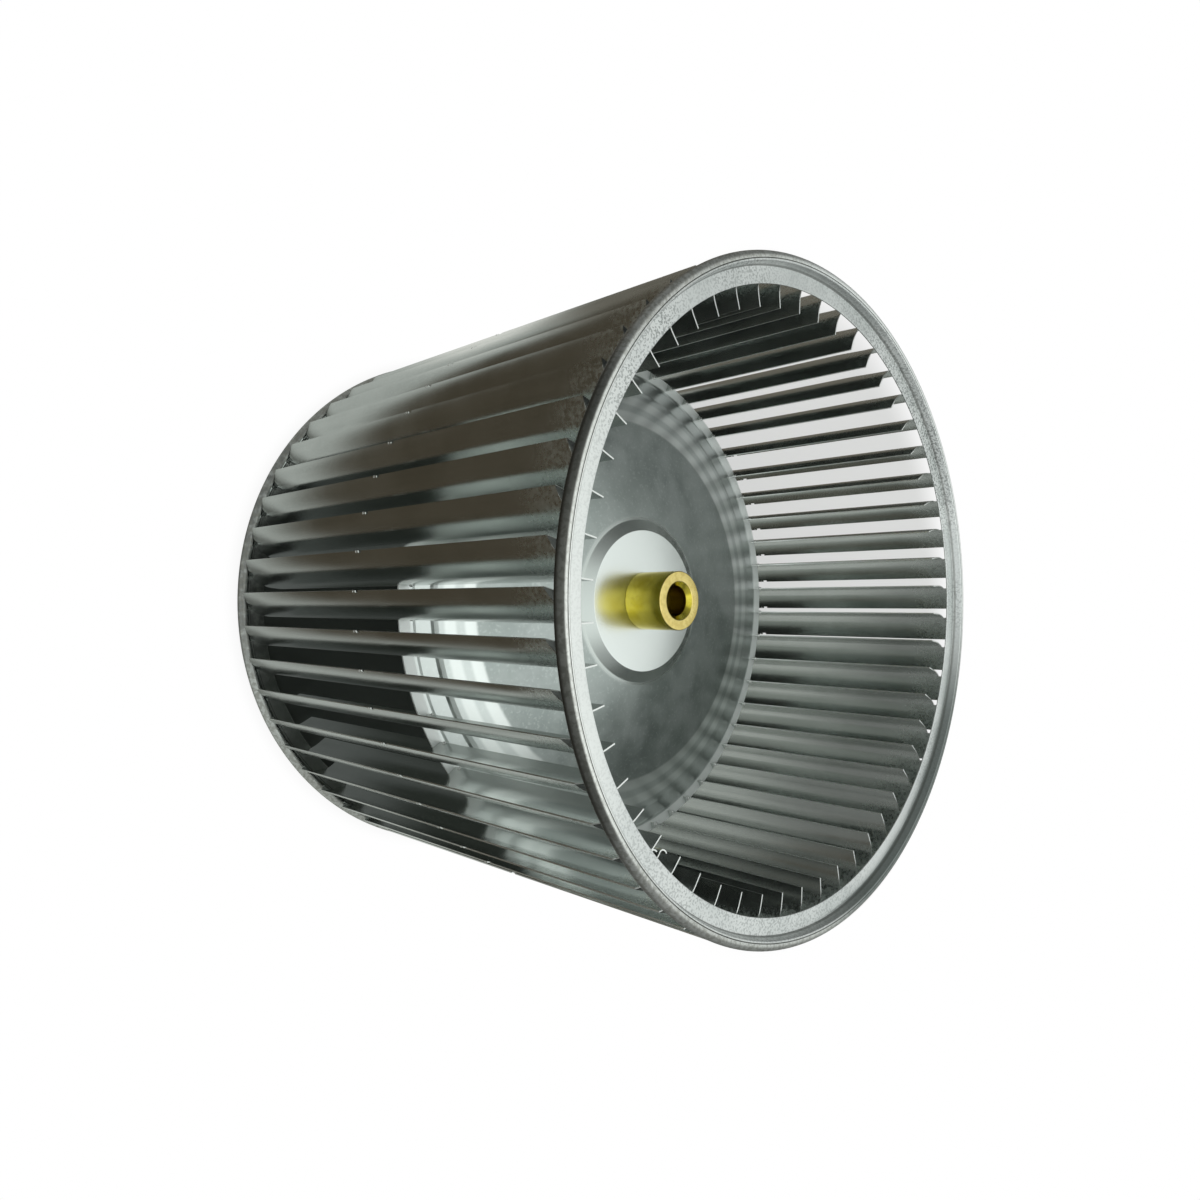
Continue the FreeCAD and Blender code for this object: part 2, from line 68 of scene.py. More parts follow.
BAND_ANGLE = math.radians(-4.56)
BAND_LOW, BAND_HIGH = 216.4, 219.7
CUT_END = -3.0
BEAD_THROAT = -0.6
RIM_HEIGHT = 112.8
PLATE_SHEET = 0.8
SLOT_TOP = RIM_HEIGHT + PLATE_SHEET + 0.2
SLOT_RADIUS = 112.6
NICK_LOW, NICK_HIGH, NICK_DEPTH = 106.9, 109.0, 0.8
SEAM_BLADE = 47
SLIT_START, SLIT_WIDTH = 204.6, 1.5
HOOK_FOOT, HOOK_HEAD, SHORT_HOOK_HEAD = 7.0, 214.6, 214.2
RING_INNER = 115.85
PAD_RADIUS, PAD_TOP = 31.2, 134.0
BORE, BARREL, SPIGOT, COLLAR = 6.35, 12.7, 9.5, 11.5
HUB_FOOT, HUB_FACE, BORE_CHAMFER = 131.6, 154.2, 2.1

# Steps round the axis.
BAND_STEPS, RING_STEPS, PLATE_STEPS, HUB_STEPS = 216, 300, 256, 128


# Mesh makers.


def make_piece(name, points, faces, sharp_degrees, slot, node, marks=None):
    """A mesh object from points in millimetres and quads, smooth but for edges sharper than the angle.
    It rides on the wheel and stands for the named solid. The marks say how each face is finished: 1 for
    a face across the sheet's thickness, 0.5 for the crown side of a folded neck, which gets painted shade,
    0 for the rest."""
    mesh = bpy.data.meshes.new(name)
    mesh.from_pydata((np.asarray(points) * MM).tolist(), [], np.asarray(faces).tolist())
    mesh.update()
    mesh.shade_smooth()
    mesh.set_sharp_from_angle(angle=math.radians(sharp_degrees))
    if marks is not None:
        layer = mesh.attributes.new("sheet_mark", "FLOAT", "FACE")
        layer.data.foreach_set("value", np.asarray(marks, np.float32))
    piece = bpy.data.objects.new(name, mesh)
    bpy.context.scene.collection.objects.link(piece)
    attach(piece, "root")
    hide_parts(node)
    return piece


def sheet_solid(hollow, crown, present, folded=None):
    """Closed sheet between two grids of points. Each present cell gives a face on either side, and each
    edge between a present and an absent cell gives a face across the sheet's thickness. The first
    parameter crossed with the second points away from the crown side. Returns the points, the faces and
    a mark for each face."""
    rows, columns = hollow.shape[:2]
    index = np.arange(rows * columns).reshape(rows, columns)
    low, high = index, index + rows * columns
    here = np.zeros((rows + 1, columns + 1), bool)
    here[1:-1, 1:-1] = present
    quads = []

    def add(chosen, *corners):
        quads.append(np.stack([corner[chosen] for corner in corners], axis=-1))

    a, b = (slice(None, -1), slice(None, -1)), (slice(1, None), slice(None, -1))
    c, d = (slice(1, None), slice(1, None)), (slice(None, -1), slice(1, None))
    add(present, high[a], high[d], high[c], high[b])
    add(present, low[a], low[b], low[c], low[d])
    inward = here[1:, 1:-1] & ~here[:-1, 1:-1]
    outward = ~here[1:, 1:-1] & here[:-1, 1:-1]
    add(inward, low[:, :-1], low[:, 1:], high[:, 1:], high[:, :-1])
    add(outward, low[:, :-1], high[:, :-1], high[:, 1:], low[:, 1:])
    foot = here[1:-1, 1:] & ~here[1:-1, :-1]
    head = ~here[1:-1, 1:] & here[1:-1, :-1]
    add(foot, low[:-1, :], high[:-1, :], high[1:, :], low[1:, :])
    add(head, low[:-1, :], low[1:, :], high[1:, :], high[:-1, :])
    faces = np.concatenate(quads)
    cells = np.count_nonzero(present)
    marks = np.ones(len(faces))
    marks[:2 * cells] = 0
    if folded is not None:
        marks[:cells] = 0.5 * folded[present]
    points = np.concatenate([hollow.reshape(-1, 3), crown.reshape(-1, 3)])
    used, faces = np.unique(faces, return_inverse=True)
    return points[used], faces.reshape(-1, 4), marks


def lathe(profile, steps):
    """A closed outline of radius and height, listed anticlockwise, carried round the axis."""
    profile = np.asarray(profile, float)
    count = len(profile)
    angle = np.linspace(0, math.tau, steps, endpoint=False)[:, None]
    points = np.stack([profile[:, 0] * np.cos(angle), profile[:, 0] * np.sin(angle),
                       np.broadcast_to(profile[:, 1], (steps, count))], axis=-1)
    k, p = np.meshgrid(np.arange(steps), np.arange(count), indexing="ij")
    k_next, p_next = (k + 1) % steps, (p + 1) % count
    faces = np.stack([k * count + p, k_next * count + p, k_next * count + p_next, k * count + p_next], axis=-1)
    return points.reshape(-1, 3), faces.reshape(-1, 4)


def at_far_end(profile):
    """A near end's section mirrored in the wheel's mid plane, its order reversed to stay anticlockwise."""
    return profile[::-1] * [1.0, -1.0] + [0, 2 * MID_HEIGHT]


def round_copies(points, faces, angles):
    """The same mesh at each angle round the axis."""
    angles = np.asarray(angles)[:, None]
    x, y, z = points.T
    turned = np.stack([x * np.cos(angles) - y * np.sin(angles), x * np.sin(angles) + y * np.cos(angles),
                       np.broadcast_to(z, (len(angles), len(z)))], axis=-1)
    shift = np.arange(len(angles))[:, None, None] * len(points)
    return turned.reshape(-1, 3), (faces[None] + shift).reshape(-1, 4)


def join(*parts):
    """Several meshes of points and quads as one."""
    starts = np.cumsum([0] + [len(part[0]) for part in parts[:-1]])
    return (np.concatenate([part[0] for part in parts]),
            np.concatenate([part[1] + start for part, start in zip(parts, starts)]))


def rounded(corners, steps=6):
    """An outline through corners of radius, height and rounding: each corner is cut at the tangent
    points of its rounding and an arc is drawn between them."""
    corners = np.asarray(corners, float)
    place, radius = corners[:, :2], corners[:, 2]
    back = np.roll(place, 1, axis=0) - place
    ahead = np.roll(place, -1, axis=0) - place
    back /= np.linalg.norm(back, axis=1, keepdims=True)
    ahead /= np.linalg.norm(ahead, axis=1, keepdims=True)
    half = np.arccos(np.clip((back * ahead).sum(1), -1, 1)) / 2
    reach = radius / np.tan(half)
    middle = back + ahead
    middle /= np.linalg.norm(middle, axis=1, keepdims=True) + 1e-12
    centre = place + middle * (radius / np.sin(half))[:, None]
    first = place + back * reach[:, None] - centre
    last = place + ahead * reach[:, None] - centre
    outline = []
    for number in range(len(corners)):
        if radius[number] == 0:
            outline.append(place[number][None])
            continue
        turn = math.pi - 2 * half[number]
        t = np.linspace(0, 1, steps + 1)[:, None]
        blend = (np.sin((1 - t) * turn) * first[number] + np.sin(t * turn) * last[number]) / math.sin(turn)
        outline.append(centre[number] + blend)
    return np.concatenate(outline)


def smooth(x, low, high):
    """0 below low, 1 above high, with an even S between."""
    t = np.clip((x - low) / (high - low), 0, 1)
    return t * t * (3 - 2 * t)


# Blade strip.


def blade_section(u, side, dent=0.0):
    """The blade's section, u millimetres in from its free edge, on its hollow side (0) or crown side (1):
    an arc that runs in from the free edge, then a flat lip. The dent lowers the crown towards the arc's
    centre. Returns x, along the radius at the blade's inner edge, and y across it."""
    s = BLADE_WIDTH - u
    lip = np.minimum(s, BLADE_LIP)
    turn = np.maximum(s - BLADE_LIP, 0) / BEND_RADIUS
    centre_x = BLADE_INNER + BLADE_LIP * math.cos(BLADE_LEAN) + BEND_RADIUS * math.sin(BLADE_LEAN)
    centre_y = BLADE_LIP * math.sin(BLADE_LEAN) - BEND_RADIUS * math.cos(BLADE_LEAN)
    angle = math.pi / 2 + BLADE_LEAN - turn
    reach = BEND_RADIUS + side * SHEET - dent
    flat = s < BLADE_LIP
    x = np.where(flat, BLADE_INNER + lip * math.cos(BLADE_LEAN) - side * SHEET * math.sin(BLADE_LEAN),
                 centre_x + reach * np.cos(angle))
    y = np.where(flat, lip * math.sin(BLADE_LEAN) + side * SHEET * math.cos(BLADE_LEAN),
                 centre_y + reach * np.sin(angle))
    return x, y


def place_at_radius(radius):
    """How far in from the free edge the blade's section crosses that radius."""
    u = np.linspace(0, BLADE_WIDTH, 2001)
    x, y = blade_section(u, 0)
    return float(np.interp(-radius, -np.hypot(x, y), u))


def blade_rows(u):
    """The grid's rows for one half of the blade. Each is its height over the flange's plane, less than 0
    below it, and how far the sheet has turned from its own section (0) into the ring's band (1). The
    rows run straight to the neck. There they slant with the crease, which starts on the free edge and
    climbs inward, and beyond the crease the neck turns onto the band's cylinder."""
    straight = [MID_HEIGHT - FLANGE_NEAR, -85.0, -60.0, -40.0, -25.0, -20.0, -16.0, -12.5, -9.5, -7.0, -5.2]
    crease = np.minimum(-4.0 + 0.36 * u, -0.9)
    full = np.maximum(-1.5, crease + 0.2)
    rows = [(np.full_like(u, height), 0.0) for height in straight]
    rows.append((np.minimum(-3.0, crease - 0.4), 0.0))
    rows += [(crease + (full - crease) * t, t) for t in (0.0, 0.34, 0.67, 1.0)]
    rows += [(np.full_like(u, -0.62), 1.0), (np.full_like(u, 1.1), 1.0)]
    return rows


def blade_mesh(seam=False):
    """One blade as a grid over u and height. Its section is dented by half a sine across the blade's outer
    part, more towards the ends, and blends into the band's cylinder where the neck turns. Beyond the
    cut ends only the neck goes on, and its outer part alone enters the bead. Cells are left out for the
    plate's slot and for the nick in the free edge, and on the seam's blade for the slit by the neck."""
    neck = place_at_radius(NECK_RADIUS)
    slot = place_at_radius(SLOT_RADIUS)
    u = np.unique([0.0, NICK_DEPTH, 1.7, 2.8, 4.0, 5.2, NECK_TONGUE, 7.6, 9.0, neck, neck + SLIT_WIDTH, 14.0,
                   16.0, 17.5, BLADE_WIDTH - BLADE_LIP, slot, BLADE_WIDTH - 1.5, BLADE_WIDTH])
    half = blade_rows(u)
    rows = [(FLANGE_NEAR + height, turned) for height, turned in half]
    rows += [(FLANGE_FAR - height, turned) for height, turned in half[1:]]
    rows += [(np.full_like(u, height), 0.0) for height in
             (RIM_HEIGHT, SLOT_TOP, NICK_LOW, NICK_HIGH, SLIT_START)]
    rows.sort(key=lambda row: row[0][-1] + 1e-3 * row[0][0])
    z = np.stack([row[0] for row in rows], axis=1)
    turned = np.array([row[1] for row in rows])[None, :]
    over = np.maximum(z - FLANGE_NEAR, FLANGE_FAR - z)
    across = np.broadcast_to(u[:, None], z.shape)
    dent_depth, dent_width = 0.45, 13.0
    dent = dent_depth * np.sin(math.pi * np.clip(across / dent_width, 0, 1)) * smooth(over, -24.0, -7.0)
    share = turned * (1 - smooth(across, 5.5, 9.0))
    grids = []
    for side in (0, 1):
        x, y = blade_section(across, side, dent)
        band_angle = BAND_ANGLE + across / BAND_RADIUS
        band = BAND_RADIUS + side * SHEET
        grids.append(np.stack([(1 - share) * x + share * band * np.cos(band_angle),
                               (1 - share) * y + share * band * np.sin(band_angle), z], axis=-1))
    middle_u = (across[1:, 1:] + across[:-1, :-1]) / 2
    middle_z = (z[1:, 1:] + z[:-1, 1:] + z[1:, :-1] + z[:-1, :-1]) / 4
    middle_over = np.maximum(middle_z - FLANGE_NEAR, FLANGE_FAR - middle_z)
    present = ~((middle_over > CUT_END) & (middle_u > neck))
    present &= ~((middle_over > BEAD_THROAT) & (middle_u > NECK_TONGUE))
    present &= ~((middle_z > RIM_HEIGHT) & (middle_z < SLOT_TOP) & (middle_u > slot))
    present &= ~((middle_z > NICK_LOW) & (middle_z < NICK_HIGH) & (middle_u < NICK_DEPTH))
    if seam:
        present &= ~((middle_z > SLIT_START) & (middle_u > neck) & (middle_u < neck + SLIT_WIDTH))
    folded = (turned[:, 1:] + turned[:, :-1] > 0) & (middle_u < 8.0)
    grids = [grid[::-1] for grid in grids]
    return sheet_solid(grids[0], grids[1], present[::-1], folded[::-1])


def dome_mesh(centre, outward, along, radius, rise):
    """A small swelling: an ellipsoid of that radius in the sheet and that rise out of it, in eight gores
    that are cut off short of its poles and closed there by three quads."""
    turn, tip = np.meshgrid(np.linspace(0, math.tau, 9)[:-1], np.radians([-75, -40, 0, 35, 65, 84]),
                            indexing="ij")
    side = np.cross(outward, along)
    points = (np.asarray(centre) + radius * (np.cos(tip) * np.cos(turn))[..., None] * along
              + radius * (np.cos(tip) * np.sin(turn))[..., None] * side
              + rise * np.sin(tip)[..., None] * outward)
    turns, tips = turn.shape
    k, p = np.meshgrid(np.arange(turns), np.arange(tips - 1), indexing="ij")
    k_next = (k + 1) % turns
    faces = np.stack([k * tips + p, k_next * tips + p, k_next * tips + p + 1, k * tips + p + 1], axis=-1)
    around = np.arange(turns) * tips
    caps = around[np.array([(0, 1, 2, 3), (0, 3, 4, 7), (4, 5, 6, 7)])]
    return points.reshape(-1, 3), np.concatenate([faces.reshape(-1, 4), caps + tips - 1, caps[:, ::-1]])


def stake_mesh():
    """The two small staked bumps of a blade: one on its free edge beside the nick, one on its inner edge
    just above the plate."""
    outer_height, inner_height = 105.4, 116.7
    up = np.array([0.0, 0.0, 1.0])
    x, y = (float(v) for v in blade_section(np.array(0.35), 0.5))
    lean = math.pi / 2 - BEND_ANGLE + BLADE_LEAN
    outward = np.array([math.cos(lean), math.sin(lean), 0.0])
    outer = dome_mesh((x, y, outer_height), outward, up, 0.6, 0.42)
    x, y = (float(v) for v in blade_section(np.array(BLADE_WIDTH - 0.5), 0.5))
    inner = dome_mesh((x, y, inner_height), np.array([-1.0, 0.0, 0.0]), up, 0.9, 0.95)
    return join(outer, inner)


def hook_mesh():
    """The strip's folded end at the seam: a sheet along a path of radius and angle, offset by its
    thickness and hooked at its inner end, with a shorter leaf of the other end beside it."""
    def leaf(path, thickness, low, high):
        radius, angle = np.array(path).T
        angle = np.radians(angle)
        line = np.stack([radius * np.cos(angle), radius * np.sin(angle)], axis=-1)
        along = np.gradient(line, axis=0)
        along /= np.linalg.norm(along, axis=1, keepdims=True)
        offset = np.stack([along[:, 1], -along[:, 0]], axis=-1) * thickness
        hollow, crown = (np.stack(np.broadcast_arrays(edge[::-1, :1], edge[::-1, 1:], [[low, high]]), axis=-1)
                         for edge in (line, line - offset))
        return sheet_solid(hollow, crown, np.ones((len(line) - 1, 1), bool))

    seat = math.degrees(SEAM_BLADE * PITCH)
    long_leaf = [(121.6, seat - 1.35), (119.5, seat + 0.4), (117.0, seat + 1.6), (115.0, seat + 2.05),
                 (113.4, seat + 2.05), (112.3, seat + 1.95), (111.6, seat + 2.1), (111.2, seat + 2.5),
                 (111.1, seat + 2.95), (111.35, seat + 3.3)]
    short_leaf = [(117.2, seat + 0.5), (115.2, seat + 0.45), (113.7, seat + 0.55), (113.4, seat + 0.95),
                  (113.3, seat + 1.4)]
    parts = [leaf(long_leaf, SHEET, HOOK_FOOT, HOOK_HEAD),
             leaf(short_leaf, SHEET, HOOK_FOOT, SHORT_HOOK_HEAD)]
    points, faces = join(*parts)
    return points, faces, np.concatenate([part[2] for part in parts])


angles = np.delete(np.arange(BLADES), SEAM_BLADE) * PITCH
points, faces, marks = blade_mesh()
plain = round_copies(points, faces, angles)
seam_points, seam_faces, seam_marks = blade_mesh(seam=True)
special = round_copies(seam_points, seam_faces, [SEAM_BLADE * PITCH])
blades = make_piece("strip_blades", *join(plain, special), 35, "strip_sheet", "blade_strip",
                    np.concatenate([np.tile(marks, len(angles)), seam_marks]))
points, faces = round_copies(*stake_mesh(), np.arange(BLADES) * PITCH)
stakes = make_piece("strip_stakes", points, faces, 60, "strip_sheet", "blade_strip", np.ones(len(faces)))
points, faces, marks = hook_mesh()
hook = make_piece("strip_seam_hook", points, faces, 50, "strip_sheet", "blade_strip", marks)

band_profile = np.array([(BAND_RADIUS, BAND_LOW), (BAND_RADIUS + SHEET, BAND_LOW),
                         (BAND_RADIUS + SHEET, BAND_HIGH), (BAND_RADIUS, BAND_HIGH)])
both_bands = join(lathe(band_profile, BAND_STEPS), lathe(at_far_end(band_profile), BAND_STEPS))
bands = make_piece("strip_bands", *both_bands, 40, "strip_sheet", "blade_strip")


# End rings.


def ring_profile():
    """The near ring's section, anticlockwise, over the flange's plane: half a circle for the bead's outer
    side and crest, drawn in a little below by a squared sine, the hem's groove, the steep inner wall,
    the root, the flat flange with its rolled inner edge, and the throat that takes the strip's band."""
    bead_middle, bead_height, bead_radius = 124.62, 1.02, 2.38
    turn = np.radians(np.linspace(-88, 88, 26))
    swell = 1 - 0.16 * np.sin(2 * turn) ** 2 * (turn < 0)
    crest = np.stack([bead_middle + bead_radius * swell * np.cos(turn),
                      bead_height + bead_radius * swell * np.sin(turn)], axis=-1)
    groove = [(124.2, 3.38), (124.02, 3.3), (123.93, 3.1), (123.84, 3.3), (123.66, 3.36)]
    wall = rounded([(123.66, 3.36, 0), (123.1, 3.3, 0.45), (122.05, 0.0, 0.5), (RING_INNER, 0.0, 0.26),
                    (RING_INNER, -RING_SHEET, 0.24), (122.9, -RING_SHEET, 0), (122.9, 2.2, 0),
                    (124.1, 2.2, 0), (124.1, -1.36, 0)])
    section = np.concatenate([crest, groove[:-1], wall])
    return section + [0, FLANGE_NEAR]


profile = ring_profile()
near_ring = make_piece("ring_near", *lathe(profile, RING_STEPS), 38, "ring_sheet", "end_ring_near")
far_ring = make_piece("ring_far", *lathe(at_far_end(profile), RING_STEPS), 38, "ring_sheet", "end_ring_far")


# Centre plate.


def plate_profile():
    """The plate's section: hub pad, skirt, dish, step, sloping zone and flat rim as radius, height over the
    rim's underside and rounding, one sheet thick."""
    pad = PAD_TOP - RIM_HEIGHT
    top = [(9.6, pad, 0.0), (PAD_RADIUS, pad, 0.8), (36.0, 18.6, 2.0), (97.2, 4.0, 0.8), (98.9, 3.3, 0.5),
           (99.5, 2.3, 0.6), (105.6, 1.2, 0.8), (106.6, PLATE_SHEET, 0.6), (112.4, PLATE_SHEET, 0.0)]
    under = [(r, z - PLATE_SHEET, rounding) for r, z, rounding in top]
    outline = under + top[::-1]
    return rounded([(r, RIM_HEIGHT + z, rounding) for r, z, rounding in outline])


plate = make_piece("plate_disc", *lathe(plate_profile(), PLATE_STEPS), 40, "plate_sheet", "centre_plate")


# Hub.

# Bore, collar behind the plate, spigot through it, barrel, face and the bore's chamfered mouth.
hub_profile = rounded([
    (BORE, HUB_FOOT, 0), (COLLAR, HUB_FOOT, 0.5), (COLLAR, PAD_TOP - PLATE_SHEET, 0),
    (SPIGOT, PAD_TOP - PLATE_SHEET, 0), (SPIGOT, PAD_TOP, 0), (BARREL, PAD_TOP, 0.3),
    (BARREL, HUB_FACE, 0.45), (BORE + BORE_CHAMFER, HUB_FACE, 0.5), (BORE, HUB_FACE - BORE_CHAMFER, 0.6)])
hub = make_piece("hub_barrel", *lathe(hub_profile, HUB_STEPS), 40, "hub_plated", "hub")


# Nodes of the finishes.


def feed(tree, socket, value):
    """Links a socket, or sets the input's own value."""
    if isinstance(value, bpy.types.NodeSocket):
        tree.links.new(value, socket)
    else:
        socket.default_value = value


def make_node(tree, kind, feeds, **settings):
    """A node of that kind, with its settings made and its inputs fed."""
    node = tree.nodes.new(kind)
    for name, value in settings.items():
        setattr(node, name, value)
    for name, value in feeds.items():
        feed(tree, node.inputs[name], value)
    return node


def place_group(tree, group, feeds):
    """The outputs of a node group with its inputs fed."""
    return make_node(tree, "ShaderNodeGroup", feeds, node_tree=group).outputs


def split(tree, vector):
    """The parts X, Y and Z of a vector."""
    return make_node(tree, "ShaderNodeSeparateXYZ", {0: vector}).outputs


def arithmetic(tree, operation, *values):
    """One step of arithmetic on sockets or numbers."""
    return make_node(tree, "ShaderNodeMath", dict(enumerate(values)), operation=operation).outputs[0]


def times(tree, first, *others):
    """All the values multiplied together."""
    for other in others:
        first = arithmetic(tree, "MULTIPLY", first, other)
    return first


def plus(tree, first, *factors):
    """The first value plus the product of the rest."""
    return arithmetic(tree, "ADD", first, times(tree, *factors))


def ease(tree, value, start, end, low=0.0, high=1.0):
    """Low before start, high after end, an even S between."""
    feeds = {"Value": value, "From Min": start, "From Max": end, "To Min": low, "To Max": high}
    return make_node(tree, "ShaderNodeMapRange", feeds, interpolation_type="SMOOTHSTEP").outputs["Result"]


def tint(tree, first, second, *shares):
    """The first colour turning into the second, by the shares multiplied together."""
    feeds = {0: times(tree, *shares), 6: first, 7: second}
    return make_node(tree, "ShaderNodeMix", feeds, data_type="RGBA").outputs[2]


def tint_value(tree, first, second, *shares):
    """The first number turning into the second, by the shares multiplied together."""
    feeds = {0: times(tree, *shares), 2: first, 3: second}
    return make_node(tree, "ShaderNodeMix", feeds, data_type="FLOAT").outputs[0]


def noise(tree, where, scale, detail=4.0, rough=0.55):
    """Layered noise from 0 to 1, with that many cells to the metre."""
    feeds = {"Vector": where, "Scale": scale, "Detail": detail, "Roughness": rough}
    return make_node(tree, "ShaderNodeTexNoise", feeds).outputs["Fac"]


def new_group(name, inputs, outputs):
    """An empty shader group with those sockets, and the sockets to build between."""
    group = bpy.data.node_groups.new(name, "ShaderNodeTree")
    for socket, kind in inputs:
        group.interface.new_socket(name=socket, in_out="INPUT", socket_type="NodeSocket" + kind)
    for socket, kind in outputs:
        group.interface.new_socket(name=socket, in_out="OUTPUT", socket_type="NodeSocket" + kind)
    return group, group.nodes.new("NodeGroupInput").outputs, group.nodes.new("NodeGroupOutput").inputs


def zinc_group():
    """The grain of hot-dipped zinc on rolled sheet: fine flecks, soft clouds, and faint streaks that run
    along the wheel's axis. Its height is 0.4 of the flecks' noise, 0.3 of the clouds and 0.3 of the
    streaks."""
    tree, given, wanted = new_group(
        "zinc_grain",
        [("Where", "Vector"), ("Fleck Scale", "Float"), ("Fleck Cover", "Float"), ("Cloud Scale", "Float")],
        [("Flecks", "Float"), ("Clouds", "Float"), ("Streaks", "Float"), ("Height", "Float")])
    fine = noise(tree, given["Where"], given["Fleck Scale"], 2.0, 0.6)
    edge = arithmetic(tree, "SUBTRACT", 0.62, times(tree, given["Fleck Cover"], 0.2))
    clouds = ease(tree, noise(tree, given["Where"], given["Cloud Scale"], 5.0, 0.6), 0.34, 0.66)
    drawn = make_node(tree, "ShaderNodeMapping", {"Vector": given["Where"], "Scale": (260.0, 260.0, 9.0)})
    streaks = ease(tree, noise(tree, drawn.outputs[0], 1.0, 3.0, 0.5), 0.36, 0.64)
    height = plus(tree, times(tree, fine, 0.4), clouds, 0.3)
    feed(tree, wanted["Flecks"], ease(tree, fine, edge, plus(tree, edge, 0.07)))
    feed(tree, wanted["Clouds"], clouds)
    feed(tree, wanted["Streaks"], streaks)
    feed(tree, wanted["Height"], plus(tree, height, streaks, 0.3))
    return tree


def hoop_group():
    """A soft-edged hoop round the wheel's axis: 1 up to 0.65 of the half width off its radius, 0 from
    1.35 of it on, both in metres."""
    tree, given, wanted = new_group(
        "hoop_line", [("Where", "Vector"), ("Radius", "Float"), ("Half Width", "Float")], [("Mask", "Float")])
    flat = make_node(tree, "ShaderNodeVectorMath", {0: given["Where"], 1: (1.0, 1.0, 0.0)},
                     operation="MULTIPLY")
    far = make_node(tree, "ShaderNodeVectorMath", {0: flat.outputs[0]}, operation="LENGTH")
    off = arithmetic(tree, "ABSOLUTE", arithmetic(tree, "SUBTRACT", far.outputs["Value"], given["Radius"]))
    outer, inner = times(tree, given["Half Width"], 1.35), times(tree, given["Half Width"], 0.65)
    feed(tree, wanted["Mask"], ease(tree, off, outer, inner))
    return tree


zinc = zinc_group()
hoop = hoop_group()


def grain_at(tree, where, fleck_scale, fleck_cover, cloud_scale):
    """The outputs of the zinc grain at that place."""
    return place_group(tree, zinc, {"Where": where, "Fleck Scale": fleck_scale, "Fleck Cover": fleck_cover,
                                    "Cloud Scale": cloud_scale})


def hoop_mask(tree, where, radius, half_width, *levels):
    """The hoop's mask, spread between two of its levels where they are given."""
    mask = place_group(tree, hoop, {"Where": where, "Radius": radius, "Half Width": half_width})["Mask"]
    return ease(tree, mask, *levels) if levels else mask


def new_finish(name, metallic):
    """A material with its tree, its shader and the place on the object."""
    material = bpy.data.materials.new(name)
    material.use_nodes = True
    tree = material.node_tree
    shader = tree.nodes["Principled BSDF"]
    shader.inputs["Metallic"].default_value = metallic
    where = tree.nodes.new("ShaderNodeTexCoord").outputs["Object"]
    return material, tree, shader, where


def set_surface(tree, shader, colour, rough, height, strength, distance):
    """Gives the shader its colour and roughness, and a relief from the height."""
    bump = make_node(tree, "ShaderNodeBump", {"Height": height, "Strength": strength, "Distance": distance})
    feed(tree, shader.inputs["Base Color"], colour)
    feed(tree, shader.inputs["Roughness"], rough)
    feed(tree, shader.inputs["Normal"], bump.outputs["Normal"])


def strip_finish():
    """Blades: dull grey zinc with lighter flecks and streaks along the blade, bright where the sheet was
    cut, pale and grainy at the outer edges of the near end, partly strained zinc and partly painted
    sheen, and painted shade on the folded necks."""
    material, tree, shader, where = new_finish("galvanised_strip", 1.0)
    grain = grain_at(tree, where, 1900.0, 0.35, 30.0)
    outer = hoop_mask(tree, where, 0.1225, 0.0075)
    near_end = ease(tree, split(tree, where)["Z"], 0.192, 0.212)
    bare_zinc_and_sheen = times(tree, outer, near_end, ease(tree, noise(tree, where, 650.0, 5.0, 0.7), 0.36, 0.76))
    mark = make_node(tree, "ShaderNodeAttribute", {}, attribute_name="sheet_mark").outputs["Fac"]
    folded = arithmetic(tree, "COMPARE", mark, 0.5, 0.1)
    cut = arithmetic(tree, "GREATER_THAN", mark, 0.75)
    colour = tint(tree, (0.50, 0.525, 0.505, 1), (0.58, 0.605, 0.585, 1), grain["Clouds"])
    colour = tint(tree, colour, (0.66, 0.68, 0.66, 1), grain["Streaks"], 0.3)
    colour = tint(tree, colour, (0.82, 0.85, 0.83, 1), grain["Flecks"], 0.25)
    # Pale patches at the near end's outer edges: partly strained bare zinc, partly painted sheen.
    colour = tint(tree, colour, (0.92, 0.96, 0.95, 1), bare_zinc_and_sheen, 0.6)
    # Painted shade on the crown side of the folded necks.
    colour = tint(tree, colour, (0.08, 0.085, 0.08, 1), folded)
    colour = tint(tree, colour, (0.86, 0.87, 0.85, 1), cut)
    rough = plus(tree, 0.21, grain["Clouds"], 0.05)
    rough = plus(tree, tint_value(tree, rough, 0.42, bare_zinc_and_sheen), cut, 0.15)
    height = times(tree, grain["Height"], ease(tree, outer, 0.0, 1.0, 0.05, 0.14))
    set_surface(tree, shader, colour, rough, plus(tree, height, bare_zinc_and_sheen, 0.4), 1.0, 0.0001)
    return material


